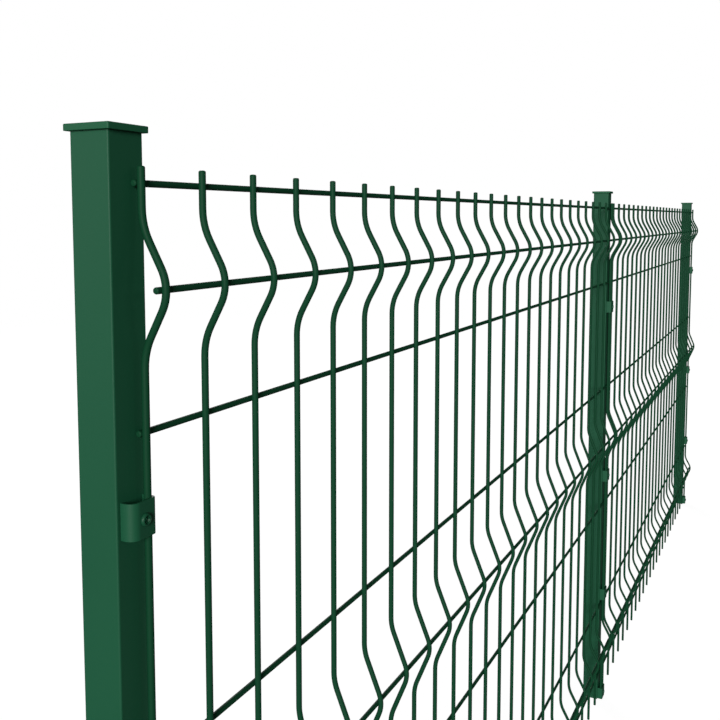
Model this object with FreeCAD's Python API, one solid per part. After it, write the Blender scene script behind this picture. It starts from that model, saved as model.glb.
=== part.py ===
import FreeCAD
import Part
import math
import os

# Welded mesh fence: two folded mesh panels carried by three square posts.
# Millimetres. +X along the fence, +Z up, the panels on the -Y side of the posts.
# The origin is the middle of the middle post's foot, on the ground.

# Posts
post_width = 50.0
post_wall = 1.5
post_inner_radius = 0.5
post_above_panel = 33.8
foot_thickness = 6.0

# Post caps
cap_overhang = 4.7
cap_thickness = 7.5
cap_corner_radius = 2.0
cap_edge_chamfer = 1.2
spigot_height = 15.0
spigot_wall = 2.0
spigot_clearance = 0.2

# Mesh panels
wire = 7.0
wire_pitch = 100.0
wires_per_panel = 25
level_wire_overhang = 11.5

# Folds that stiffen a panel
fold_depth = 29.0
fold_slope = math.radians(29.0)
fold_bend_radius = 70.0
fold_crest_radius = 45.0

# Heights up a panel, each from what lies below it
ground_clearance = 26.0
bottom_tip = 74.0
bottom_wire_to_low_fold = 40.0
low_fold_to_third_wire = 51.0
third_to_fourth_wire = 364.0
fourth_wire_to_middle_fold = 169.0
middle_fold_to_sixth_wire = 93.0
sixth_to_seventh_wire = 360.0
seventh_wire_to_top_fold = 63.0
top_fold_to_top_wire = 25.0
top_tip = 17.0

# Where the end wires stand, from the middle of the post that carries them
wire_from_middle_post = 14.0
wire_from_outer_post = 9.0

# Clamps that hold the end wires to a post
clamp_height = 39.0
clamp_thickness = 3.0
clamp_side_clearance = 0.5
clamp_wire_bend_radius = 4.5
clamp_free_bend_radius = 11.0
outer_clamp_reach = 20.0
first_clamp_from_ground = 21.0
second_clamp_above_third_wire = 32.5
third_clamp_below_middle_fold = 70.0
fourth_clamp_below_seventh_wire = 89.0

# Bolts through the clamps
bolt_diameter = 8.0
bolt_clearance = 0.5
bolt_depth_in_post = 10.0
head_diameter = 14.0
head_rim = 1.5
head_chamfer = 3.5
outer_bolt_from_post = 2.0

# Flats that stand in for each round form
flats_per_corner = 2
flats_per_fold_bend = 1
flats_per_crest = 2
flats_per_strap_bend = 2
flats_per_circle = 12

# Depths from the posts' front face outwards
half_post = post_width / 2
post_corner_radius = post_inner_radius + post_wall
post_front = -half_post
level_wire_y = post_front - wire / 2
upright_wire_y = level_wire_y - wire
wire_front = upright_wire_y - wire / 2

# Lengths along the fence
panel_length = wire_pitch * (wires_per_panel - 1)
outer_post_x = wire_from_middle_post + panel_length + wire_from_outer_post

# Half the height of a fold, from its crest to the end of its bend
bend_radii = fold_bend_radius + fold_crest_radius
flank = (fold_depth - bend_radii * (1 - math.cos(fold_slope))) / math.sin(fold_slope)
half_fold = bend_radii * math.sin(fold_slope) + flank * math.cos(fold_slope)

# Heights from the ground up
panel_bottom = ground_clearance
bottom_wire = panel_bottom + bottom_tip
low_fold = bottom_wire + bottom_wire_to_low_fold + half_fold
third_wire = low_fold + half_fold + low_fold_to_third_wire
fourth_wire = third_wire + third_to_fourth_wire
middle_fold = fourth_wire + fourth_wire_to_middle_fold + half_fold
sixth_wire = middle_fold + half_fold + middle_fold_to_sixth_wire
seventh_wire = sixth_wire + sixth_to_seventh_wire
top_fold = seventh_wire + seventh_wire_to_top_fold + half_fold
top_wire = top_fold + half_fold + top_fold_to_top_wire
panel_top = top_wire + top_tip
post_top = panel_top + post_above_panel

folds = (low_fold, middle_fold, top_fold)
straight_wires = (bottom_wire, third_wire, fourth_wire, sixth_wire, seventh_wire, top_wire)
clamp_places = (
    first_clamp_from_ground,
    third_wire + second_clamp_above_third_wire,
    middle_fold - half_fold - third_clamp_below_middle_fold,
    seventh_wire - fourth_clamp_below_seventh_wire,
)


def bend(centre, radius, first_angle, turn, flats):
    """Points of a bend as the given number of corners, with flats tangent to its arc."""
    step = turn / flats
    corner_radius = radius / math.cos(step / 2)
    points = []
    for number in range(flats):
        angle = first_angle + step * (number + 0.5)
        across = centre[0] + corner_radius * math.cos(angle)
        along = centre[1] + corner_radius * math.sin(angle)
        points.append((across, along))
    return points


def flat_face(points, to_space):
    """A face from two-way points, each put in its place by to_space."""
    corners = [to_space(*point) for point in points]
    return Part.Face(Part.makePolygon(corners + corners[:1]))


def fold_outline(height, offset):
    """One fold of an upright wire's edge, as depths towards the front and heights."""
    bend_radius = fold_bend_radius - offset
    crest_radius = fold_crest_radius + offset
    lower = bend((fold_bend_radius, height - half_fold), bend_radius,
                 math.pi, -fold_slope, flats_per_fold_bend)
    crest = bend((fold_depth - fold_crest_radius, height), crest_radius,
                 -fold_slope, 2 * fold_slope, flats_per_crest)
    upper = bend((fold_bend_radius, height + half_fold), bend_radius,
                 math.pi + fold_slope, -fold_slope, flats_per_fold_bend)
    return lower + crest + upper


def wire_edge(offset):
    """An upright wire's edge from the bottom up, offset from its middle to the front."""
    points = [(offset, panel_bottom)]
    for height in folds:
        points += fold_outline(height, offset)
    points.append((offset, panel_top))
    return points


def upright_wire(x):
    outline = wire_edge(wire / 2) + wire_edge(-wire / 2)[::-1]
    side = flat_face(outline, lambda depth, height:
                     FreeCAD.Vector(x - wire / 2, upright_wire_y - depth, height))
    return side.extrude(FreeCAD.Vector(wire, 0, 0))


def level_wire(first_x, y, height):
    length = panel_length + 2 * level_wire_overhang
    corner = FreeCAD.Vector(first_x - level_wire_overhang, y - wire / 2, height - wire / 2)
    return Part.makeBox(length, wire, wire, corner)


def mesh_panel(first_x):
    """A panel whose first upright wire stands at first_x, fused where its wires cross."""
    uprights = [upright_wire(first_x + wire_pitch * number) for number in range(wires_per_panel)]
    straight = [level_wire(first_x, level_wire_y, height) for height in straight_wires]
    crests = [level_wire(first_x, level_wire_y - fold_depth, height) for height in folds]
    return uprights[0].multiFuse(uprights[1:] + straight + crests)


def square_block(x, width, radius, bottom, height):
    """An upright block on a post's middle line, with its four long edges rounded."""
    reach = width / 2 - radius
    outline = []
    for quarter, (side_x, side_y) in enumerate(((1, 1), (-1, 1), (-1, -1), (1, -1))):
        centre = (x + side_x * reach, side_y * reach)
        outline += bend(centre, radius, quarter * math.pi / 2, math.pi / 2, flats_per_corner)
    face = flat_face(outline, lambda across, along: FreeCAD.Vector(across, along, bottom))
    return face.extrude(FreeCAD.Vector(0, 0, height))


def round_bar(x, front, back, height, diameter):
    outline = bend((x, height), diameter / 2, 0, 2 * math.pi, flats_per_circle)
    face = flat_face(outline, lambda across, up: FreeCAD.Vector(across, front, up))
    return face.extrude(FreeCAD.Vector(0, back - front, 0))


def bolt_hole(x, height):
    """The clearance hole of a bolt, through its clamp and the post's front wall."""
    front = wire_front - 2 * clamp_thickness
    back = post_front + 2 * post_wall
    return round_bar(x, front, back, height, bolt_diameter + 2 * bolt_clearance)


def post(x, bolt_x):
    """A square tube from its foot to its cap, drilled for the clamp bolts."""
    length = post_top - foot_thickness
    tube = square_block(x, post_width, post_corner_radius, foot_thickness, length)
    hollow = square_block(x, post_width - 2 * post_wall, post_inner_radius,
                          foot_thickness, length)
    holes = [bolt_hole(bolt_x, height) for height in clamp_places]
    return tube.cut([hollow] + holes)


def post_foot(x):
    """The plate that closes a post at ground level."""
    return square_block(x, post_width, post_corner_radius, 0, foot_thickness)


def post_cap(x):
    """A flat lid over the tube, with a hollow spigot that fits inside it."""
    lid_width = post_width + 2 * cap_overhang
    lid = square_block(x, lid_width, cap_corner_radius, post_top, cap_thickness)
    top = post_top + cap_thickness
    rim = [edge for edge in lid.Edges if edge.BoundBox.ZMin > top - cap_edge_chamfer]
    lid = lid.makeChamfer(cap_edge_chamfer, rim)
    spigot_width = post_width - 2 * post_wall - 2 * spigot_clearance
    spigot_bottom = post_top - spigot_height
    spigot = square_block(x, spigot_width, post_inner_radius, spigot_bottom, spigot_height)
    bore_width = spigot_width - 2 * spigot_wall
    bore_corner = FreeCAD.Vector(x - bore_width / 2, -bore_width / 2, spigot_bottom)
    bore = Part.makeBox(bore_width, bore_width, spigot_height, bore_corner)
    return lid.fuse(spigot.cut(bore))


def strap_edge(left, right, front, left_radius, right_radius):
    """A strap's edge: out from the post on the left, across the front and back on the right."""
    left_bend = bend((left + left_radius, front + left_radius), left_radius,
                     math.pi, math.pi / 2, flats_per_strap_bend)
    right_bend = bend((right - right_radius, front + right_radius), right_radius,
                      -math.pi / 2, math.pi / 2, flats_per_strap_bend)
    return [(left, post_front)] + left_bend + right_bend + [(right, post_front)]


def clamp(left, right, left_radius, right_radius, bolt_x, height):
    """A bent strap round the end wires, with its two legs on the post."""
    outer = strap_edge(left, right, wire_front - clamp_thickness, left_radius, right_radius)
    inner = strap_edge(left + clamp_thickness, right - clamp_thickness, wire_front,
                       left_radius - clamp_thickness, right_radius - clamp_thickness)
    bottom = height - clamp_height / 2
    profile = flat_face(outer + inner[::-1], lambda across, along:
                        FreeCAD.Vector(across, along, bottom))
    strap = profile.extrude(FreeCAD.Vector(0, 0, clamp_height))
    return strap.cut(bolt_hole(bolt_x, height))


def bolt(x, height):
    """A bolt with a low head, seated on its clamp."""
    seat = wire_front - clamp_thickness
    head = round_bar(x, seat - head_rim - head_chamfer, seat, height, head_diameter)
    front = [edge for edge in head.Edges if edge.BoundBox.YMax < seat - head_rim]
    shaft = round_bar(x, seat, post_front + bolt_depth_in_post, height, bolt_diameter)
    return head.makeChamfer(head_chamfer, front).fuse(shaft)


def export(name, shape):
    shape.exportStep(os.path.join("parts", name + ".step"))


def fence_post(name, x, clamp_left, clamp_right, left_radius, right_radius, bolt_offset):
    """A post with its foot, cap, clamps and bolts."""
    bolt_x = x + bolt_offset
    export(name, post(x, bolt_x))
    export(name + "_foot", post_foot(x))
    export(name + "_cap", post_cap(x))
    for number, height in enumerate(clamp_places, start=1):
        strap = clamp(x + clamp_left, x + clamp_right, left_radius, right_radius,
                      bolt_x, height)
        export("%s_clamp_%d" % (name, number), strap)
        export("%s_bolt_%d" % (name, number), bolt(bolt_x, height))


def main():
    os.makedirs("parts", exist_ok=True)
    past_wire = wire / 2 + clamp_side_clearance + clamp_thickness
    middle_reach = wire_from_middle_post + past_wire
    wire_reach = wire_from_outer_post + past_wire
    fence_post("start_post", -outer_post_x, -outer_clamp_reach, wire_reach,
               clamp_free_bend_radius, clamp_wire_bend_radius, -outer_bolt_from_post)
    fence_post("middle_post", 0, -middle_reach, middle_reach,
               clamp_wire_bend_radius, clamp_wire_bend_radius, 0)
    fence_post("end_post", outer_post_x, -wire_reach, outer_clamp_reach,
               clamp_wire_bend_radius, clamp_free_bend_radius, outer_bolt_from_post)
    export("first_panel", mesh_panel(-wire_from_middle_post - panel_length))
    export("second_panel", mesh_panel(wire_from_middle_post))


main()
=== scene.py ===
import bmesh
import bpy
import math
from bpy.props import FloatProperty, FloatVectorProperty, IntProperty, PointerProperty
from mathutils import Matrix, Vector


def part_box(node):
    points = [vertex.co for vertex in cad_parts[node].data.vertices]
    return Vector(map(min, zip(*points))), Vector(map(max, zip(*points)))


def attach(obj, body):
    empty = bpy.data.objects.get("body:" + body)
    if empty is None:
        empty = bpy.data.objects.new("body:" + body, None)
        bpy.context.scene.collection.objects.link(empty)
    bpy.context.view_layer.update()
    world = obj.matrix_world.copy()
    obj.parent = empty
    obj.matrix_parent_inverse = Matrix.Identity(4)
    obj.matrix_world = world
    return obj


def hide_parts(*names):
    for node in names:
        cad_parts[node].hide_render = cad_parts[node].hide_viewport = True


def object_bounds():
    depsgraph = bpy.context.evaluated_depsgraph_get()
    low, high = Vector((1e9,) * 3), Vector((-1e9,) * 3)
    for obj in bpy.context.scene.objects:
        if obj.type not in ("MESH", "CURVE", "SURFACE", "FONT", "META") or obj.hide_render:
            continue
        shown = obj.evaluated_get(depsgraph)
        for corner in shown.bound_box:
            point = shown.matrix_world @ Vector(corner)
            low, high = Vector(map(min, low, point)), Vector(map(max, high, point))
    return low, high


bl_info = {
    "name": "Welded mesh fence",
    "version": (1, 0, 0),
    "blender": (4, 5, 0),
    "location": "3D View > Sidebar > Fence",
    "description": "Round wires, coated posts, moulded caps, bent clamps and button bolts of a mesh fence",
    "category": "Add Mesh",
}

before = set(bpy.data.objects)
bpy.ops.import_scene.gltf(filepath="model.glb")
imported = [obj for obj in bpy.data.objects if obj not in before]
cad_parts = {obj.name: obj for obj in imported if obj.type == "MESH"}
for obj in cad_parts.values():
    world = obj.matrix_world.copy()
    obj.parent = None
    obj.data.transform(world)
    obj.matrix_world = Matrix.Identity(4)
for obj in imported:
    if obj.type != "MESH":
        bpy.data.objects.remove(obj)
CAD_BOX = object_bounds()
BODY = "root"
POSTS = ("start_post", "middle_post", "end_post")
PANELS = ("first_panel", "second_panel")
CLAMPS_PER_POST = 4
# The side of each post's clamps that holds no wire: -1 left, 1 right, 0 where both sides do.
WIRELESS_SIDE = {"start_post": -1, "middle_post": 0, "end_post": 1}
TURN = 2 * math.pi
QUARTER = TURN / 4

# Fine sizes that a user would leave alone, in metres
CORNER_GUARD = 0.0006  # between a corner's arc and the point beside it
FINE_EDGE = 0.0006  # rounding of the foot plates' and the spigots' edges
SPIGOT_PLAY = 0.0002  # between a cap's spigot and its tube's wall
HOLLOW_RISE = 0.0008  # from a tube's end up to the ceiling of its cap's hollow
BEAD_SINK = 0.0002  # how far the middle of a weld bead lies inside the joint
RIM_DEPTH = 0.0003  # over which the hexagon in a bolt's head flares
HOLLOW_TIP_RADIUS = 0.0006  # of the hollow in that hexagon, at its deepest
HOLLOW_TIP_DEPTH = 0.0007  # of that place below the recess's floor
HEAD_UNDER_EDGE = 0.0003  # chamfer under a bolt's head
SHAFT_CHAMFER = 0.0008  # at the end of a bolt's shaft

# Shares of a larger size
CEILING_SHARE = 0.3  # of a hollow's half width, where its ceiling has its inner ring
CROWN_SHARES = (0.93, 0.8, 0.6, 0.4, 0.2)  # of a lid's half width, where its top has rings
BEAD_SWELL = 0.16  # by which a weld bead grows and shrinks along its ripples
BEAD_FLATNESS = 0.55  # a weld bead's bulge as a part of its half width
RIM_FLARE = 1.06  # the hexagon's width at its rim as a part of its width below
CLOUDS_IN_COLOUR = 0.75  # part of the soft noise in a finish's colour, the rest is specks
CLOUDS_IN_RELIEF = 0.5  # height of the soft noise in the relief as a part of the grain's

# Numbers of rings and facets
BEAD_RINGS_PER_RIPPLE = 4
BEAD_STEPS = 6
DOME_STEPS = 8
BEND_STEPS = 6

# How a coated wire's end narrows: its place in the end rounding, and its share of the width.
END_SHARES = ((0.0, 0.42), (0.1, 0.68), (0.32, 0.88), (0.62, 0.97), (1.0, 1.0))

# Distances from the middle over which the floor turns from lit to plain white
FLOOR_FADE = (4.0, 13.0)
# Each lamp's heading from +X towards +Y and its rise, in degrees, its distance from the middle
# of the fence and its width, in metres, and the setting that holds its level.
LAMPS = {
    "key": (198, 12, 60, 20, "key_level"),
    "front_fill": (272, 16, 16, 3, "front_level"),
    "side_fill": (305, 34, 16, 4, "side_level"),
    "back_fill": (135, 12, 14, 8, "back_level"),
    "end_fill": (45, 22, 16, 8, "end_level"),
    "top_fill": (200, 80, 14, 8, "top_level"),
}


# Node trees

class Signal:
    """A socket of a node tree. Sums on signals add Math nodes to that tree."""

    def __init__(self, maker, socket):
        self.maker = maker
        self.socket = socket

    def _math(self, operation, first, second):
        node = self.maker.add("ShaderNodeMath", {"operation": operation}, {0: first, 1: second})
        return node["Value"]

    def __add__(self, other):
        return self._math("ADD", self, other)

    def __radd__(self, other):
        return self._math("ADD", other, self)

    def __sub__(self, other):
        return self._math("SUBTRACT", self, other)

    def __rsub__(self, other):
        return self._math("SUBTRACT", other, self)

    def __mul__(self, other):
        return self._math("MULTIPLY", self, other)

    def __rmul__(self, other):
        return self._math("MULTIPLY", other, self)


class NodeMaker:
    """Adds nodes to one tree, with their settings first and then their sockets."""

    def __init__(self, tree):
        self.tree = tree

    def add(self, kind, settings=None, sockets=None):
        node = self.tree.nodes.new(kind)
        for name, value in (settings or {}).items():
            setattr(node, name, value)
        for key, value in (sockets or {}).items():
            self.feed(node, key, value)
        return {out.name: Signal(self, out) for out in node.outputs if out.enabled}

    def feed(self, node, key, value):
        """Links or sets one input, found by its place or by its name among those in use."""
        if isinstance(key, int):
            socket = node.inputs[key]
        else:
            socket = next(s for s in node.inputs if s.enabled and s.name == key)
        for one in value if isinstance(value, list) else [value]:
            if isinstance(one, Signal):
                self.tree.links.new(one.socket, socket)
            else:
                socket.default_value = one


# Finishes

def tinted(colour, share):
    """A colour made lighter or darker by a share of itself."""
    return tuple(part * (1 + share) for part in colour) + (1.0,)


def noise(make, place, size, detail, roughness):
    """Soft noise from 0 to 1 on a piece, with features of the given size."""
    return make.add("ShaderNodeTexNoise", None, {
        "Vector": place, "Scale": 1 / size, "Detail": detail, "Roughness": roughness})["Fac"]


def finish_material(name, colour, look, grain_size, grain_depth, roughness, gloss_level):
    """A coating or moulded surface: soft mottling, a fine grain and an uneven gloss."""
    material = bpy.data.materials.new(name)
    material.use_nodes = True
    make = NodeMaker(material.node_tree)
    shader = material.node_tree.nodes["Principled BSDF"]
    place = make.add("ShaderNodeTexCoord")["Object"]
    clouds = noise(make, place, look.cloud_size, detail=3.0, roughness=0.55)
    specks = noise(make, place, look.speck_size, detail=2.0, roughness=0.6)
    grain = noise(make, place, grain_size, detail=1.5, roughness=0.5)
    shade = make.add("ShaderNodeMix", {"data_type": "RGBA"}, {
        "Factor": clouds * CLOUDS_IN_COLOUR + specks * (1 - CLOUDS_IN_COLOUR),
        "A": tinted(colour, -look.colour_swing),
        "B": tinted(colour, look.colour_swing)})["Result"]
    swing = look.roughness_swing
    gloss = roughness - swing + (clouds * 0.5 + specks * 0.5) * (2 * swing)
    relief = make.add("ShaderNodeBump", None, {
        "Strength": 1.0, "Distance": grain_depth,
        "Height": grain + clouds * CLOUDS_IN_RELIEF})["Normal"]
    make.feed(shader, "Base Color", shade)
    make.feed(shader, "Roughness", gloss)
    make.feed(shader, "Normal", relief)
    shader.inputs["Specular IOR Level"].default_value = gloss_level
    return material


def coated(context):
    """The satin powder coat of the posts, foot plates and clamps."""
    look = context.scene.fence_finish
    return finish_material("powder_coat", look.coating_colour, look, look.peel_size,
                           look.peel_depth, look.coating_roughness, look.gloss_level)


def dipped(context):
    """The mesh's coating: the powder coat's green darkened as painted shade, with a softer gloss."""
    look = context.scene.fence_finish
    return finish_material("wire_coat", look.wire_colour_with_painted_shade, look, look.peel_size,
                           look.peel_depth, look.coating_roughness, look.wire_gloss_level)


def moulded(context):
    """The caps' plastic, with the fine grain of its mould."""
    look = context.scene.fence_finish
    return finish_material("moulded_cap", look.cap_colour, look, look.mould_grain_size,
                           look.mould_grain_depth, look.cap_roughness, look.cap_gloss_level)


def bolt_paint(context):
    """The bolts' paint, darker and smoother than the coating round it."""
    look = context.scene.fence_finish
    return finish_material("bolt_paint", look.bolt_colour, look, look.peel_size,
                           look.peel_depth, look.bolt_roughness, look.gloss_level)


def shared(name, maker, context):
    """The named material, made the first time that it is asked for."""
    return bpy.data.materials.get(name) or maker(context)


# Meshes

def new_piece(name, mesh, material, slot, *nodes):
    """Puts a finished mesh in the scene, to ride on the fence in place of its CAD nodes."""
    mesh.name = name
    mesh.materials.clear()
    mesh.materials.append(material)
    piece = bpy.data.objects.new(name, mesh)
    bpy.context.scene.collection.objects.link(piece)
    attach(piece, BODY)
    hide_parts(*nodes)
    return piece


def smooth_by_angle(mesh, sharp_angle=math.radians(38)):
    """Smooth shading over bends and rounded edges, with the flat faces kept flat."""
    mesh.shade_smooth()
    mesh.set_sharp_from_angle(angle=sharp_angle)
    return with_modifiers(mesh, ("WEIGHTED_NORMAL", {"keep_sharp": True}))


def mesh_of(name, solid):
    """A mesh from a bmesh, which is freed."""
    bmesh.ops.recalc_face_normals(solid, faces=solid.faces)
    mesh = bpy.data.meshes.new(name)
    solid.to_mesh(mesh)
    solid.free()
    return mesh


def with_modifiers(mesh, *modifiers):
    """The mesh after the given modifiers: each is a type and its settings."""
    holder = bpy.data.objects.new("work_piece", mesh)
    bpy.context.scene.collection.objects.link(holder)
    for kind, settings in modifiers:
        modifier = holder.modifiers.new(kind.lower(), kind)
        for name, value in settings.items():
            setattr(modifier, name, value)
    depsgraph = bpy.context.evaluated_depsgraph_get()
    result = bpy.data.meshes.new_from_object(holder.evaluated_get(depsgraph))
    bpy.data.objects.remove(holder)
    return result


def loft(rings, closed=False):
    """A bmesh skin through rings of the same number of points, capped unless it closes on itself."""
    solid = bmesh.new()
    rows = [[solid.verts.new(point) for point in ring] for ring in rings]
    pairs = list(zip(rows, rows[1:]))
    if closed:
        pairs.append((rows[-1], rows[0]))
    for lower, upper in pairs:
        for number in range(len(lower)):
            after = (number + 1) % len(lower)
            solid.faces.new((lower[number], lower[after], upper[after], upper[number]))
    if not closed:
        solid.faces.new(rows[0])
        solid.faces.new(rows[-1])
    return solid


def square_ring(centre_x, half, radius, height, steps):
    """A rounded square at a height, with a point just off each end of its corner arcs."""
    reach = half - radius
    guard = min(reach, CORNER_GUARD)
    points = []
    for number, (side_x, side_y) in enumerate(((1, 1), (-1, 1), (-1, -1), (1, -1))):
        first = number * QUARTER
        last = first + QUARTER
        corner = Vector((centre_x + side_x * reach, side_y * reach, height))
        arc = []
        for step in range(steps + 1):
            angle = first + QUARTER * step / steps
            arc.append(corner + radius * Vector((math.cos(angle), math.sin(angle), 0)))
        along_first = Vector((-math.sin(first), math.cos(first), 0))
        along_last = Vector((-math.sin(last), math.cos(last), 0))
        points += [arc[0] - guard * along_first] + arc + [arc[-1] + guard * along_last]
    return points


def square_rings(section, centre_x, half, sizes):
    """Rounded squares at (half width, height) pairs, whose corner arcs share their centres."""
    rings = []
    for reach, height in section:
        radius = sizes.corner_radius - (half - reach)
        rings.append(square_ring(centre_x, reach, radius, height, sizes.corner_steps))
    return rings


def middle_and_half(low, high):
    """The middle of a box along the fence, and half its width."""
    return (low.x + high.x) / 2, (high.x - low.x) / 2


def turned(profile, centre, sides):
    """Rings round a line that runs along Y, from (radius, depth) pairs."""
    rings = []
    for radius, depth in profile:
        ring = []
        for side in range(sides):
            angle = TURN * side / sides
            ring.append(centre + Vector((radius * math.cos(angle), depth, radius * math.sin(angle))))
        rings.append(ring)
    return rings


def edge_round(half, height, radius, upwards, steps=4):
    """(half width, height) pairs round a square block's outer edge, from its side to its face."""
    pairs = []
    for step in range(steps + 1):
        angle = QUARTER * step / steps
        inward = radius * (1 - math.cos(angle))
        rise = radius * math.sin(angle) - radius
        pairs.append((half - inward, height + (rise if upwards else -rise)))
    return pairs


def drilled(mesh, holes, radius, front, back, sides=32):
    """The mesh with round holes along Y cut through it at the given (x, height) places."""
    drills = bmesh.new()
    for x, height in holes:
        rings = turned([(radius, front), (radius, back)], Vector((x, 0, height)), sides)
        part = loft(rings)
        spare = bpy.data.meshes.new("drill")
        part.to_mesh(spare)
        part.free()
        drills.from_mesh(spare)
        bpy.data.meshes.remove(spare)
    drill = bpy.data.objects.new("drills", mesh_of("drills", drills))
    bpy.context.scene.collection.objects.link(drill)
    result = with_modifiers(mesh, ("BOOLEAN", {
        "operation": "DIFFERENCE", "solver": "EXACT", "object": drill}))
    bpy.data.objects.remove(drill)
    return result


def bolt_places(post):
    """The (x, height) of each clamp bolt of a post, from the CAD nodes."""
    places = []
    for number in range(1, CLAMPS_PER_POST + 1):
        low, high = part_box("%s_bolt_%d" % (post, number))
        places.append(((low.x + high.x) / 2, (low.z + high.z) / 2))
    return places


# Sizes and looks that a user would change

class FencePostSizes(bpy.types.PropertyGroup):
    corner_radius: FloatProperty(
        name="Corner radius", description="Outer radius of the square tube's long edges",
        default=0.002, unit="LENGTH")
    wall: FloatProperty(
        name="Wall", description="Thickness of the tube's wall", default=0.0015, unit="LENGTH")
    cut_edge: FloatProperty(
        name="Cut edge", description="How far the tube's sawn edges are eased",
        default=0.0003, unit="LENGTH")
    corner_steps: IntProperty(
        name="Corner steps", description="Facets round each corner of the tube", default=8)
    bead_width: FloatProperty(
        name="Weld bead", description="Width of the weld bead that joins tube and foot plate",
        default=0.0032, unit="LENGTH")
    bead_pitch: FloatProperty(
        name="Ripple", description="Distance between the ripples of the weld bead",
        default=0.0019, unit="LENGTH")


class FenceCapSizes(bpy.types.PropertyGroup):
    corner_radius: FloatProperty(
        name="Corner radius", description="Radius of the lid's upright corners",
        default=0.002, unit="LENGTH")
    top_edge: FloatProperty(
        name="Top edge", description="Radius of the lid's top edge", default=0.0011,
        unit="LENGTH")
    lower_edge: FloatProperty(
        name="Lower edge", description="Radius of the lid's lower edge", default=0.0005,
        unit="LENGTH")
    crown: FloatProperty(
        name="Crown", description="Rise of the lid's top from its edges to its middle",
        default=0.0005, unit="LENGTH")
    spigot_wall: FloatProperty(
        name="Spigot wall", description="Thickness of the spigot inside the tube",
        default=0.002, unit="LENGTH")


class FenceClampSizes(bpy.types.PropertyGroup):
    thickness: FloatProperty(
        name="Thickness", description="Thickness of the strap", default=0.003, unit="LENGTH")
    tight_bend: FloatProperty(
        name="Tight bend", description="Outer radius of the bend on a side that holds a wire",
        default=0.0045, unit="LENGTH")
    wide_bend: FloatProperty(
        name="Wide bend", description="Outer radius of the bend on a side that holds no wire",
        default=0.011, unit="LENGTH")
    edge_radius: FloatProperty(
        name="Edge radius", description="Rounding of the strap's cut edges", default=0.0005,
        unit="LENGTH")
    hole_radius: FloatProperty(
        name="Hole radius", description="Radius of the bolt hole in clamps and posts",
        default=0.0045, unit="LENGTH")


class FenceBoltSizes(bpy.types.PropertyGroup):
    head_radius: FloatProperty(
        name="Head radius", description="Radius of the button head", default=0.007,
        unit="LENGTH")
    head_height: FloatProperty(
        name="Head height", description="Height of the head above the clamp", default=0.0034,
        unit="LENGTH")
    rim: FloatProperty(
        name="Rim", description="Height of the head's straight rim", default=0.0009,
        unit="LENGTH")
    top_radius: FloatProperty(
        name="Top radius", description="Radius of the head's recess at its edge",
        default=0.0048, unit="LENGTH")
    drive_width: FloatProperty(
        name="Drive width", description="Width across the flats of the hexagon in the recess",
        default=0.005, unit="LENGTH")
    recess_depth: FloatProperty(
        name="Recess depth", description="Depth of the recess round the hexagon",
        default=0.0026, unit="LENGTH")
    shaft_radius: FloatProperty(
        name="Shaft radius", description="Radius of the bolt's shaft", default=0.004,
        unit="LENGTH")
    sides: IntProperty(
        name="Sides", description="Facets round the head, a multiple of six", default=48)


class FenceMeshSizes(bpy.types.PropertyGroup):
    wire_diameter: FloatProperty(
        name="Wire diameter", description="Diameter of the upright wires with their coating",
        default=0.0082, unit="LENGTH")
    level_share: FloatProperty(
        name="Level share", description="Level wires' width as a part of the uprights'",
        default=0.9, subtype="FACTOR")
    wire_pitch: FloatProperty(
        name="Wire pitch", description="Distance between upright wires", default=0.1,
        unit="LENGTH")
    wires: IntProperty(
        name="Wires", description="Upright wires in a panel", default=25)
    wire_sides: IntProperty(
        name="Wire sides", description="Facets round a wire", default=16)
    fold_depth: FloatProperty(
        name="Fold depth", description="How far a fold stands out from the panel",
        default=0.029, unit="LENGTH")
    fold_slopes: FloatVectorProperty(
        name="Fold slopes", description="Angle of each fold's flanks from upright", size=3,
        default=(math.radians(29), math.radians(22.4), math.radians(29)), unit="ROTATION")
    bend_radius: FloatProperty(
        name="Bend radius", description="Radius where a fold leaves the panel",
        default=0.070, unit="LENGTH")
    crest_radius: FloatProperty(
        name="Crest radius", description="Radius at a fold's crest", default=0.045,
        unit="LENGTH")
    folds: FloatVectorProperty(
        name="Folds", description="Heights of the folds' crests above the ground", size=3,
        default=(0.22206, 0.9625, 1.6500), unit="LENGTH")
    level_wires: FloatVectorProperty(
        name="Level wires", description="Heights of the level wires that are on no fold",
        size=6, default=(0.1, 0.35512, 0.71912, 1.1362, 1.5013, 1.7570), unit="LENGTH")
    end_play: FloatProperty(
        name="End play", description="How far the panels sit along the fence from the middle",
        default=0.0012, unit="LENGTH")
    level_overhang: FloatProperty(
        name="Overhang", description="How far level wires stand out past the outer uprights",
        default=0.0056, unit="LENGTH")
    crest_overhang: FloatProperty(
        name="Crest overhang", description="How far the level wires on the folds stand out",
        default=0.0092, unit="LENGTH")
    end_round: FloatProperty(
        name="End rounding", description="How far a cut wire end is rounded by its coating",
        default=0.0020, unit="LENGTH")
    weld_radius: FloatProperty(
        name="Weld radius", description="Radius of the weld between two crossing wires",
        default=0.0036, unit="LENGTH")
    weld_depth: FloatProperty(
        name="Weld depth", description="Half the depth of that weld", default=0.0021,
        unit="LENGTH")


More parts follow.
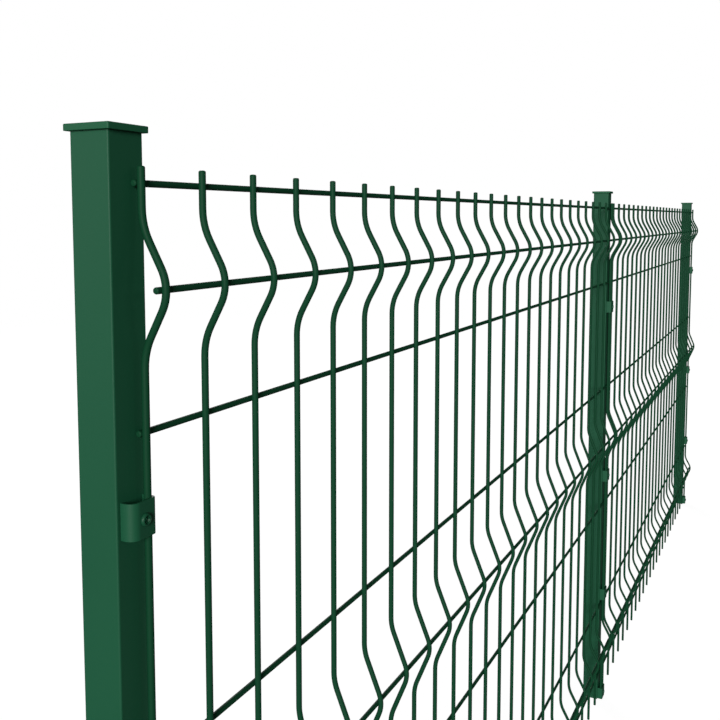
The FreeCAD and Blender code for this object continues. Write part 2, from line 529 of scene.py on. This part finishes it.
class FenceFinish(bpy.types.PropertyGroup):
    coating_colour: FloatVectorProperty(
        name="Coating", description="Colour of the powder coat", size=3, subtype="COLOR",
        default=(0.0095, 0.0980, 0.0445), min=0, max=1)
    # The wires' colour is the same coating's green darkened as painted shade, standing in for the dimmer
    # light on the wires.
    wire_colour_with_painted_shade: FloatVectorProperty(
        name="Wires", description="Colour of the mesh's coating", size=3, subtype="COLOR",
        default=(0.0060, 0.0590, 0.0250), min=0, max=1)
    cap_colour: FloatVectorProperty(
        name="Caps", description="Colour of the plastic caps", size=3, subtype="COLOR",
        default=(0.0110, 0.1110, 0.0480), min=0, max=1)
    bolt_colour: FloatVectorProperty(
        name="Bolts", description="Colour of the painted bolts", size=3, subtype="COLOR",
        default=(0.0078, 0.0820, 0.0370), min=0, max=1)
    colour_swing: FloatProperty(
        name="Mottling", description="How far the colour swings to lighter and darker",
        default=0.06, subtype="FACTOR")
    cloud_size: FloatProperty(
        name="Cloud size", description="Size of the soft changes of colour", default=0.12,
        unit="LENGTH")
    speck_size: FloatProperty(
        name="Speck size", description="Size of the small changes of colour", default=0.004,
        unit="LENGTH")
    gloss_level: FloatProperty(
        name="Gloss level", description="Strength of the coating's reflections", default=0.30,
        subtype="FACTOR")
    wire_gloss_level: FloatProperty(
        name="Wire gloss", description="Strength of the mesh's reflections", default=0.10,
        subtype="FACTOR")
    cap_gloss_level: FloatProperty(
        name="Cap gloss", description="Strength of the caps' reflections", default=0.30,
        subtype="FACTOR")
    coating_roughness: FloatProperty(
        name="Coating roughness", description="Roughness of the powder coat", default=0.52,
        subtype="FACTOR")
    cap_roughness: FloatProperty(
        name="Cap roughness", description="Roughness of the moulded caps", default=0.54,
        subtype="FACTOR")
    bolt_roughness: FloatProperty(
        name="Bolt roughness", description="Roughness of the bolts' paint", default=0.46,
        subtype="FACTOR")
    roughness_swing: FloatProperty(
        name="Uneven gloss", description="How far the roughness swings", default=0.06,
        subtype="FACTOR")
    peel_size: FloatProperty(
        name="Orange peel", description="Size of the dimples in the powder coat",
        default=0.0022, unit="LENGTH")
    peel_depth: FloatProperty(
        name="Peel depth", description="Depth of those dimples", default=0.00006,
        unit="LENGTH")
    mould_grain_size: FloatProperty(
        name="Mould grain", description="Size of the caps' moulded grain", default=0.0009,
        unit="LENGTH")
    mould_grain_depth: FloatProperty(
        name="Grain depth", description="Depth of that grain", default=0.00004,
        unit="LENGTH")


class FenceStage(bpy.types.PropertyGroup):
    camera_place: FloatVectorProperty(
        name="Camera", description="Where the camera stands", size=3, subtype="XYZ",
        default=(-3.102, -0.630, 1.7215), unit="LENGTH")
    camera_heading: FloatProperty(
        name="Heading", description="Where the camera looks, from +X towards +Y",
        default=math.radians(26.88), subtype="ANGLE")
    camera_dip: FloatProperty(
        name="Dip", description="How far the camera looks down", default=math.radians(4.706),
        subtype="ANGLE")
    lens: FloatProperty(
        name="Lens", description="Focal length on a 36 mm wide sensor", default=43.803)
    shift: FloatProperty(
        name="Shift", description="Upward shift of the lens", default=-0.09616)
    floor_size: FloatProperty(
        name="Floor", description="Width of the floor", default=60.0, unit="LENGTH")
    floor_shade: FloatProperty(
        name="Floor shade", description="How much of the lamps' light the floor gives back",
        default=0.25, subtype="FACTOR")
    floor_glow: FloatProperty(
        name="Floor white", description="Part of the floor's white that is its own",
        default=0.92, subtype="FACTOR")
    key_level: FloatProperty(
        name="Key level", description="Light that the main lamp gives to what faces it",
        default=0.86)
    front_level: FloatProperty(
        name="Front level", description="Light that the lamp before the panels gives",
        default=0.03)
    side_level: FloatProperty(
        name="Side level", description="Light that the lamp before the end post gives",
        default=0.02)
    back_level: FloatProperty(
        name="Back level", description="Light that the lamp behind the start post gives",
        default=0.13)
    end_level: FloatProperty(
        name="End level", description="Light that the lamp past the end post gives",
        default=0.3)
    top_level: FloatProperty(
        name="Top level", description="Light that the lamp overhead gives", default=0.04)
    ambient: FloatProperty(
        name="Ambient", description="Even light from all round", default=0.02)
    surround_in_gloss: FloatProperty(
        name="Surround in gloss", description="How bright the surround is in reflections",
        default=0.01, subtype="FACTOR")


# Operators, one for each kind of piece

class FENCE_OT_stage(bpy.types.Operator):
    """Sets the camera, the pale floor, the white surround and the lamps"""
    bl_idname = "fence.stage"
    bl_label = "Stage"

    def execute(self, context):
        stage = context.scene.fence_stage
        context.scene.view_settings.view_transform = "Standard"
        self.camera(context, stage)
        self.floor(context, stage)
        self.surround(context, stage)
        for name, (heading, rise, distance, width, level) in LAMPS.items():
            self.lamp(context, name, math.radians(heading), math.radians(rise), distance, width,
                      getattr(stage, level))
        return {"FINISHED"}

    def camera(self, context, stage):
        data = bpy.data.cameras.new("camera")
        data.sensor_width = 36
        data.lens = stage.lens
        data.shift_y = stage.shift
        data.clip_start = 0.05
        data.clip_end = 200
        camera = bpy.data.objects.new("camera", data)
        camera.location = stage.camera_place
        camera.rotation_euler = (QUARTER - stage.camera_dip, 0, stage.camera_heading - QUARTER)
        context.scene.collection.objects.link(camera)
        context.scene.camera = camera

    def background_share(self, make, stage):
        """How bright a surface is to a ray: 1 from the camera, and faint in reflections."""
        path = make.add("ShaderNodeLightPath")
        mirrored = path["Is Glossy Ray"] + path["Is Transmission Ray"]
        return path["Is Camera Ray"] + mirrored * stage.surround_in_gloss

    def floor(self, context, stage):
        solid = bmesh.new()
        bmesh.ops.create_grid(solid, x_segments=1, y_segments=1, size=stage.floor_size / 2)
        mesh = bpy.data.meshes.new("floor")
        solid.to_mesh(mesh)
        solid.free()
        floor = bpy.data.objects.new("floor", mesh)
        context.scene.collection.objects.link(floor)
        material = bpy.data.materials.new("floor")
        material.use_nodes = True
        material.node_tree.nodes.clear()
        make = NodeMaker(material.node_tree)
        share = self.background_share(make, stage)
        place = make.add("ShaderNodeTexCoord")["Object"]
        distance = make.add("ShaderNodeVectorMath", {"operation": "LENGTH"}, {0: place})["Value"]
        away = make.add("ShaderNodeMapRange", {"interpolation_type": "SMOOTHSTEP"}, {
            "Value": distance, "From Min": FLOOR_FADE[0], "From Max": FLOOR_FADE[1]})["Result"]
        lit = make.add("ShaderNodeBsdfDiffuse", None, {"Color": (stage.floor_shade,) * 3 + (1,)})
        white = make.add("ShaderNodeEmission", None, {"Strength": share * stage.floor_glow})
        near = make.add("ShaderNodeAddShader", None, {0: lit["BSDF"], 1: white["Emission"]})
        far = make.add("ShaderNodeEmission", None, {"Strength": share})
        both = make.add("ShaderNodeMixShader", None, {
            0: away, 1: near["Shader"], 2: far["Emission"]})
        make.add("ShaderNodeOutputMaterial", None, {"Surface": both["Shader"]})
        mesh.materials.append(material)

    def surround(self, context, stage):
        world = bpy.data.worlds.new("surround")
        world.use_nodes = True
        world.node_tree.nodes.clear()
        make = NodeMaker(world.node_tree)
        diffuse = make.add("ShaderNodeLightPath")["Is Diffuse Ray"]
        strength = self.background_share(make, stage) + diffuse * stage.ambient
        white = make.add("ShaderNodeBackground", None, {
            "Color": (1, 1, 1, 1), "Strength": strength})
        make.add("ShaderNodeOutputWorld", None, {"Surface": white["Background"]})
        context.scene.world = world

    def lamp(self, context, name, heading, rise, distance, width, level):
        """A square lamp that lights what faces it to a level at the middle of the fence."""
        data = bpy.data.lights.new(name, "AREA")
        data.size = width
        data.energy = level * (math.pi * distance) ** 2
        lamp = bpy.data.objects.new(name, data)
        place = Vector((math.cos(heading) * math.cos(rise),
                        math.sin(heading) * math.cos(rise), math.sin(rise)))
        middle = Vector((0, 0, (CAD_BOX[0][2] + CAD_BOX[1][2]) / 2))
        lamp.location = middle + place * distance
        lamp.rotation_euler = place.to_track_quat("Z", "Y").to_euler()
        lamp.visible_camera = False
        context.scene.collection.objects.link(lamp)


class FENCE_OT_posts(bpy.types.Operator):
    """Makes the square tubes with rounded corners, drilled for their bolts"""
    bl_idname = "fence.posts"
    bl_label = "Posts"

    def execute(self, context):
        sizes = context.scene.fence_posts
        hole = context.scene.fence_clamps.hole_radius
        for post in POSTS:
            low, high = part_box(post)
            middle, half = middle_and_half(low, high)
            inside = half - sizes.wall
            ease = sizes.cut_edge
            section = [
                (half - ease, low.z), (half, low.z + ease), (half, high.z - ease),
                (half - ease, high.z), (inside + ease, high.z), (inside, high.z - ease),
                (inside, low.z + ease), (inside + ease, low.z)]
            rings = square_rings(section, middle, half, sizes)
            tube = drilled(mesh_of(post, loft(rings, closed=True)), bolt_places(post), hole,
                           low.y - 2 * sizes.wall, low.y + 2 * sizes.wall)
            new_piece(post + "_tube", smooth_by_angle(tube),
                      shared("powder_coat", coated, context), "post_coating", post)
        return {"FINISHED"}


class FENCE_OT_feet(bpy.types.Operator):
    """Makes the foot plates, each with the rippled weld bead that joins it to its tube"""
    bl_idname = "fence.feet"
    bl_label = "Foot plates"

    def execute(self, context):
        sizes = context.scene.fence_posts
        for post in POSTS:
            low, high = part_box(post + "_foot")
            middle, half = middle_and_half(low, high)
            section = edge_round(half, low.z, FINE_EDGE, False)[::-1]
            section += edge_round(half, high.z, FINE_EDGE, True)
            plate = loft(square_rings(section, middle, half, sizes))
            self.bead(plate, sizes, middle, half, high.z)
            new_piece(post + "_foot_plate", smooth_by_angle(mesh_of(post, plate)),
                      shared("powder_coat", coated, context), "post_coating", post + "_foot")
        return {"FINISHED"}

    def bead(self, plate, sizes, middle, half, height):
        """Adds a weld bead round the joint, as a ring that swells at each ripple."""
        path = square_ring(middle, half, sizes.corner_radius, height, sizes.corner_steps)
        lengths = [0.0]
        for first, second in zip(path, path[1:] + path[:1]):
            lengths.append(lengths[-1] + (second - first).length)
        inset = half - sizes.corner_radius
        count = round(lengths[-1] / sizes.bead_pitch) * BEAD_RINGS_PER_RIPPLE
        rows = []
        for number in range(count):
            at = lengths[-1] * number / count
            part = next(i for i in range(len(path)) if lengths[i + 1] > at)
            first, second = path[part], path[(part + 1) % len(path)]
            share = (at - lengths[part]) / (lengths[part + 1] - lengths[part])
            point = first.lerp(second, share)
            from_middle = (point.x - middle, point.y)
            from_core = [value - max(-inset, min(inset, value)) for value in from_middle]
            outward = Vector((*from_core, 0)).normalized()
            swell = 1 + BEAD_SWELL * math.cos(TURN * number / BEAD_RINGS_PER_RIPPLE)
            reach = sizes.bead_width / 2 * swell
            row = []
            for step in range(BEAD_STEPS + 1):
                angle = TURN / 2 * step / BEAD_STEPS - QUARTER
                bulge = reach * BEAD_FLATNESS * math.cos(angle) - BEAD_SINK
                row.append(point + outward * bulge + Vector((0, 0, reach * math.sin(angle))))
            rows.append([plate.verts.new(place) for place in row])
        for row, after in zip(rows, rows[1:] + rows[:1]):
            for step in range(len(row)):
                beyond = (step + 1) % len(row)
                plate.faces.new((row[step], row[beyond], after[beyond], after[step]))


class FENCE_OT_caps(bpy.types.Operator):
    """Makes the moulded caps: a slightly crowned lid with a hollow spigot under it"""
    bl_idname = "fence.caps"
    bl_label = "Post caps"

    def execute(self, context):
        sizes = context.scene.fence_caps
        posts = context.scene.fence_posts
        for post in POSTS:
            low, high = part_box(post + "_cap")
            tube_low, tube_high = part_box(post)
            middle, half = middle_and_half(low, high)
            seat = tube_high.z
            spigot = (tube_high.x - tube_low.x) / 2 - posts.wall - SPIGOT_PLAY
            inside = spigot - sizes.spigot_wall
            ease = FINE_EDGE
            roof = seat + HOLLOW_RISE
            edge = high.z - sizes.crown
            section = [
                (inside * CEILING_SHARE, roof), (inside - ease, roof), (inside, roof - ease),
                (inside, low.z + ease), (inside + ease, low.z), (spigot - 2 * ease, low.z),
                (spigot, low.z + 4 * ease), (spigot, seat)]
            section += edge_round(half, seat, sizes.lower_edge, False)[::-1]
            section += edge_round(half, edge, sizes.top_edge, True)
            top = half - sizes.top_edge
            for share in CROWN_SHARES:
                section.append((top * share, edge + sizes.crown * (1 - share ** 2)))
            rings = []
            for reach, height in section:
                outside = height >= seat and reach > spigot
                radius = max(ease, sizes.corner_radius - (half - reach)) if outside else ease
                rings.append(square_ring(middle, reach, radius, height, posts.corner_steps))
            new_piece(post + "_cap_lid", smooth_by_angle(mesh_of(post, loft(rings))),
                      shared("moulded_cap", moulded, context), "cap_plastic", post + "_cap")
        return {"FINISHED"}


class FENCE_OT_clamps(bpy.types.Operator):
    """Makes the bent straps that hold the end wires to the posts"""
    bl_idname = "fence.clamps"
    bl_label = "Clamps"

    def execute(self, context):
        sizes = context.scene.fence_clamps
        for post in POSTS:
            side = WIRELESS_SIDE[post]
            left_bend = sizes.wide_bend if side < 0 else sizes.tight_bend
            right_bend = sizes.wide_bend if side > 0 else sizes.tight_bend
            for number, (bolt_x, height) in enumerate(bolt_places(post), start=1):
                node = "%s_clamp_%d" % (post, number)
                low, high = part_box(node)
                outer = self.edge(low.x, high.x, low.y, high.y, left_bend, right_bend)
                inset = sizes.thickness
                inner = self.edge(low.x + inset, high.x - inset, low.y + inset, high.y,
                                  left_bend - inset, right_bend - inset)
                outline = outer + inner[::-1]
                rings = [[Vector((x, y, z)) for x, y in outline] for z in (low.z, high.z)]
                strap = drilled(mesh_of(node, loft(rings)), [(bolt_x, height)],
                                sizes.hole_radius, low.y - inset, low.y + 2 * inset)
                strap = with_modifiers(strap, ("BEVEL", {
                    "width": sizes.edge_radius, "segments": 3, "limit_method": "ANGLE",
                    "angle_limit": math.radians(60)}))
                new_piece("%s_clamp_strap_%d" % (post, number), smooth_by_angle(strap),
                          shared("powder_coat", coated, context), "clamp_coating", node)
        return {"FINISHED"}

    def edge(self, left, right, front, back, left_bend, right_bend, steps=10):
        """A strap's edge from the post round its two bends and back, as (x, y) pairs."""
        points = [(left, back)]
        for step in range(steps + 1):
            angle = TURN / 2 + QUARTER * step / steps
            points.append((left + left_bend * (1 + math.cos(angle)),
                           front + left_bend * (1 + math.sin(angle))))
        for step in range(steps + 1):
            angle = QUARTER * step / steps - QUARTER
            points.append((right - right_bend * (1 - math.cos(angle)),
                           front + right_bend * (1 + math.sin(angle))))
        points.append((right, back))
        return points


class FENCE_OT_bolts(bpy.types.Operator):
    """Makes the button head bolts, each with a hollow hexagon in the recess of its head"""
    bl_idname = "fence.bolts"
    bl_label = "Bolts"

    def execute(self, context):
        sizes = context.scene.fence_bolts
        for post in POSTS:
            for number, (x, height) in enumerate(bolt_places(post), start=1):
                node = "%s_bolt_%d" % (post, number)
                shaft_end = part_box(node)[1].y
                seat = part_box("%s_clamp_%d" % (post, number))[0].y
                centre = Vector((x, 0, height))
                front = seat - sizes.head_height
                floor = front + sizes.recess_depth
                rings = turned([(HOLLOW_TIP_RADIUS, floor + HOLLOW_TIP_DEPTH)], centre, sizes.sides)
                for size, depth in ((RIM_FLARE, front), (1, front + RIM_DEPTH), (1, floor)):
                    rings.append(self.hexagon(sizes, centre, size, depth))
                rings += turned(self.profile(sizes, front, seat, shaft_end), centre, sizes.sides)
                new_piece("%s_button_bolt_%d" % (post, number),
                          smooth_by_angle(mesh_of(node, loft(rings))),
                          shared("bolt_paint", bolt_paint, context), "bolt_coating", node)
        return {"FINISHED"}

    def profile(self, sizes, front, seat, shaft_end):
        """(radius, depth) pairs from the edge of the head's recess to the shaft's end."""
        dome = []
        rise = seat - sizes.rim - front
        spread = sizes.head_radius - sizes.top_radius
        for step in range(DOME_STEPS + 1):
            angle = QUARTER * step / DOME_STEPS
            dome.append((sizes.top_radius + spread * math.sin(angle),
                         front + rise * (1 - math.cos(angle))))
        shaft = sizes.shaft_radius
        return dome + [
            (sizes.head_radius, seat - HEAD_UNDER_EDGE),
            (sizes.head_radius - HEAD_UNDER_EDGE, seat),
            (shaft, seat), (shaft, shaft_end - SHAFT_CHAMFER),
            (shaft - SHAFT_CHAMFER, shaft_end)]

    def hexagon(self, sizes, centre, size, depth):
        """A ring on the drive hexagon's outline, with as many points as the round rings."""
        ring = []
        sixth = TURN / 6
        for side in range(sizes.sides):
            angle = TURN * side / sizes.sides
            off_flat = angle % sixth - sixth / 2
            radius = size * sizes.drive_width / 2 / math.cos(off_flat)
            ring.append(centre + Vector((radius * math.cos(angle), depth,
                                         radius * math.sin(angle))))
        return ring


class FENCE_OT_mesh_panels(bpy.types.Operator):
    """Makes the folded mesh panels from round wires that are welded where they cross"""
    bl_idname = "fence.mesh_panels"
    bl_label = "Mesh panels"

    def execute(self, context):
        tree = self.tree()
        # The wires' material carries painted shade: its colour is the coating's green made darker.
        coating = shared("wire_coat", dipped, context)
        for panel in PANELS:
            mesh = self.welded(context, tree, panel, coating)
            new_piece(panel + "_wires", smooth_by_angle(mesh), coating, "mesh_coating", panel)
        return {"FINISHED"}

    def welded(self, context, tree, panel, coating):
        """A panel's mesh, grown by the node tree from the middle lines of its wires."""
        sizes = context.scene.fence_mesh
        low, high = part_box(panel)
        radius = sizes.wire_diameter / 2
        level_y = high.y - radius * sizes.level_share
        upright_y = low.y + radius + sizes.fold_depth
        spread = sizes.wire_pitch * (sizes.wires - 1)
        first_x = (low.x + high.x - spread) / 2 + sizes.end_play
        last_x = first_x + spread
        upright = self.upright(sizes, first_x, upright_y, low.z, high.z)
        level = self.level(sizes, first_x, last_x, sizes.level_overhang)
        crest = self.level(sizes, first_x, last_x, sizes.crest_overhang)
        seats = [(0, level_y, height) for height in sizes.level_wires]
        crests = [(0, level_y - sizes.fold_depth, height) for height in sizes.folds]
        helpers = {
            "Level wire": self.helper("level_wire", *level),
            "Seats": self.helper("seats", seats, []),
            "Crest wire": self.helper("crest_wire", *crest),
            "Crests": self.helper("crests", crests, [])}
        base = self.helper(panel, *upright)
        values = {
            "First wire": first_x, "Wire radius": radius, "Wire pitch": sizes.wire_pitch,
            "Wires": sizes.wires, "Wire sides": sizes.wire_sides,
            "Weld radius": sizes.weld_radius, "Weld depth": sizes.weld_depth,
            "Coating": coating, **helpers}
        modifier = base.modifiers.new("mesh_panel", "NODES")
        modifier.node_group = tree
        for item in tree.interface.items_tree:
            if item.in_out == "INPUT" and item.name in values:
                modifier[item.identifier] = values[item.name]
        depsgraph = context.evaluated_depsgraph_get()
        mesh = bpy.data.meshes.new_from_object(base.evaluated_get(depsgraph))
        for spare in (base, *helpers.values()):
            bpy.data.objects.remove(spare)
        return mesh

    def helper(self, name, points, shares):
        """An object that holds a line, or bare points where there are no shares of the width."""
        edges = [(number, number + 1) for number in range(len(points) - 1)] if shares else []
        mesh = bpy.data.meshes.new(name)
        mesh.from_pydata([tuple(point) for point in points], edges, [])
        swell = mesh.attributes.new("swell", "FLOAT", "POINT")
        swell.data.foreach_set("value", shares or [1.0] * len(points))
        holder = bpy.data.objects.new(name, mesh)
        bpy.context.scene.collection.objects.link(holder)
        return holder

    def line(self, sizes, start, end):
        """Points from start to end and each one's share of the wire's width."""
        along = (end - start).normalized()
        first = [(start + along * (sizes.end_round * far), share) for far, share in END_SHARES]
        last = [(end - along * (sizes.end_round * far), share) for far, share in END_SHARES]
        pairs = first + last[::-1]
        return [point for point, share in pairs], [share for point, share in pairs]

    def level(self, sizes, first_x, last_x, overhang):
        """The middle line of a level wire, past the outer uprights, and its shares of width."""
        points, shares = self.line(sizes, Vector((first_x - overhang, 0, 0)),
                                   Vector((last_x + overhang, 0, 0)))
        return points, [share * sizes.level_share for share in shares]

    def upright(self, sizes, x, y, bottom, top):
        """The middle line of an upright wire with its folds, and its shares of the width."""
        points, shares = self.line(sizes, Vector((x, y, bottom)), Vector((x, y, top)))
        middle = []
        for height, slope in zip(sizes.folds, sizes.fold_slopes):
            middle += self.fold(sizes, x, y, height, slope)
        half = len(points) // 2
        return (points[:half] + middle + points[half:],
                shares[:half] + [1.0] * len(middle) + shares[half:])

    def fold(self, sizes, x, y, height, slope):
        """The points of one fold: a bend, its crest and a bend, tangent to straight flanks."""
        bend, crest = sizes.bend_radius, sizes.crest_radius
        flank = (sizes.fold_depth - (bend + crest) * (1 - math.cos(slope))) / math.sin(slope)
        half = (bend + crest) * math.sin(slope) + flank * math.cos(slope)
        arcs = (
            (bend, height - half, bend, TURN / 2, -slope, BEND_STEPS),
            (sizes.fold_depth - crest, height, crest, -slope, 2 * slope, 2 * BEND_STEPS),
            (bend, height + half, bend, TURN / 2 + slope, -slope, BEND_STEPS))
        points = []
        for depth, level, radius, first, turn, steps in arcs:
            for step in range(steps + 1):
                angle = first + turn * step / steps
                points.append(Vector((x, y - depth - radius * math.cos(angle),
                                      level + radius * math.sin(angle))))
        return points

    def tree(self):
        """The node tree: wires along their lines, in rows, with a weld at each crossing."""
        group = bpy.data.node_groups.new("mesh_panel", "GeometryNodeTree")
        face = group.interface
        kinds = (
            ("Line", "Geometry"), ("Level wire", "Object"), ("Seats", "Object"),
            ("Crest wire", "Object"), ("Crests", "Object"),
            ("First wire", "Float"), ("Wire radius", "Float"), ("Wire pitch", "Float"),
            ("Wires", "Int"), ("Wire sides", "Int"), ("Weld radius", "Float"),
            ("Weld depth", "Float"), ("Coating", "Material"))
        for name, kind in kinds:
            face.new_socket(name, in_out="INPUT", socket_type="NodeSocket" + kind)
        face.new_socket("Panel", in_out="OUTPUT", socket_type="NodeSocketGeometry")
        make = NodeMaker(group)
        given = make.add("NodeGroupInput")
        profile = make.add("GeometryNodeCurvePrimitiveCircle", None, {
            "Resolution": given["Wire sides"], "Radius": given["Wire radius"]})["Curve"]
        swell = make.add("GeometryNodeInputNamedAttribute", {"data_type": "FLOAT"}, {
            "Name": "swell"})["Attribute"]

        def wire(line):
            curve = make.add("GeometryNodeMeshToCurve", None, {"Mesh": line})["Curve"]
            return make.add("GeometryNodeCurveToMesh", None, {
                "Curve": curve, "Profile Curve": profile, "Scale": swell,
                "Fill Caps": True})["Mesh"]

        def placed(points, instance):
            return make.add("GeometryNodeInstanceOnPoints", None, {
                "Points": points, "Instance": instance})["Instances"]

        def held(name):
            return make.add("GeometryNodeObjectInfo", None, {"Object": given[name]})["Geometry"]

        def vector(x, y, z):
            return make.add("ShaderNodeCombineXYZ", None, {"X": x, "Y": y, "Z": z})["Vector"]

        pitch = vector(given["Wire pitch"], 0.0, 0.0)
        first_crossing = vector(given["First wire"], 0.0 - given["Wire radius"], 0.0)
        uprights = make.add("GeometryNodeMeshLine", None, {
            "Count": given["Wires"], "Offset": pitch})["Mesh"]
        crossings = make.add("GeometryNodeMeshLine", None, {
            "Count": given["Wires"], "Offset": pitch, "Start Location": first_crossing})["Mesh"]
        ball = make.add("GeometryNodeMeshIcoSphere", None, {"Radius": 1.0, "Subdivisions": 2})
        weld = make.add("GeometryNodeTransform", None, {
            "Geometry": ball["Mesh"],
            "Scale": vector(given["Weld radius"], given["Weld depth"], given["Weld radius"]),
        })["Geometry"]
        whole = make.add("GeometryNodeJoinGeometry", None, {"Geometry": [
            placed(uprights, wire(given["Line"])),
            placed(held("Seats"), wire(held("Level wire"))),
            placed(held("Crests"), wire(held("Crest wire"))),
            placed(held("Seats"), placed(crossings, weld)),
            placed(held("Crests"), placed(crossings, weld))]})["Geometry"]
        real = make.add("GeometryNodeRealizeInstances", None, {"Geometry": whole})["Geometry"]
        painted = make.add("GeometryNodeSetMaterial", None, {
            "Geometry": real, "Material": given["Coating"]})["Geometry"]
        make.add("NodeGroupOutput", None, {"Panel": painted})
        return group


class FENCE_PT_panel(bpy.types.Panel):
    """Lists the fence's pieces and their sizes in the 3D view's sidebar"""
    bl_idname = "FENCE_PT_panel"
    bl_label = "Welded mesh fence"
    bl_space_type = "VIEW_3D"
    bl_region_type = "UI"
    bl_category = "Fence"

    def draw(self, context):
        for operator in OPERATORS:
            self.layout.operator(operator.bl_idname)
        for name in SETTINGS:
            group = getattr(context.scene, name)
            for key in group.__annotations__:
                self.layout.prop(group, key)


OPERATORS = (
    FENCE_OT_stage, FENCE_OT_posts, FENCE_OT_feet, FENCE_OT_caps, FENCE_OT_clamps,
    FENCE_OT_bolts, FENCE_OT_mesh_panels)
SETTINGS = {
    "fence_posts": FencePostSizes, "fence_caps": FenceCapSizes, "fence_clamps": FenceClampSizes,
    "fence_bolts": FenceBoltSizes, "fence_mesh": FenceMeshSizes, "fence_finish": FenceFinish,
    "fence_stage": FenceStage}


def register():
    for name, group in SETTINGS.items():
        bpy.utils.register_class(group)
        setattr(bpy.types.Scene, name, PointerProperty(type=group))
    for operator in OPERATORS:
        bpy.utils.register_class(operator)
    bpy.utils.register_class(FENCE_PT_panel)


def unregister():
    bpy.utils.unregister_class(FENCE_PT_panel)
    for operator in reversed(OPERATORS):
        bpy.utils.unregister_class(operator)
    for name, group in SETTINGS.items():
        delattr(bpy.types.Scene, name)
        bpy.utils.unregister_class(group)


def main():
    register()
    bpy.ops.fence.stage()
    bpy.ops.fence.posts()
    bpy.ops.fence.feet()
    bpy.ops.fence.caps()
    bpy.ops.fence.clamps()
    bpy.ops.fence.bolts()
    bpy.ops.fence.mesh_panels()


if __name__ == "__main__":
    main()
